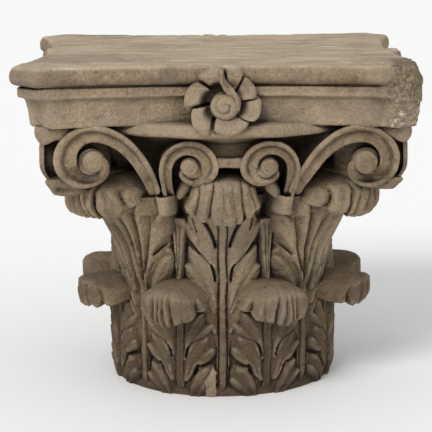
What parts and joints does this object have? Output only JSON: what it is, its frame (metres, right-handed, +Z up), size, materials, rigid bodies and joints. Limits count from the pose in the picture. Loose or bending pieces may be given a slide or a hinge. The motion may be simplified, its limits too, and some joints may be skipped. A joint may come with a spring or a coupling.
{
  "type": "corinthian capital",
  "caption": "Carved stone column capital with two rows of acanthus leaves, corner volutes, inner helices and a hollow-sided abacus with flowers; stands on its lower bed.",
  "frame": {"origin": "centre of the lower bed, where the capital rests on its shaft", "axes": "+Z up through the upper bed, -Y out of the front face, +X to the right of the front face"},
  "size_m": [0.5, 0.5, 0.429],
  "materials": {
    "limestone": "weathered, matt, with dark dirt in the hollows"
  },
  "bodies": {
    "root": {"capital": "limestone"}
  },
  "joints": []
}
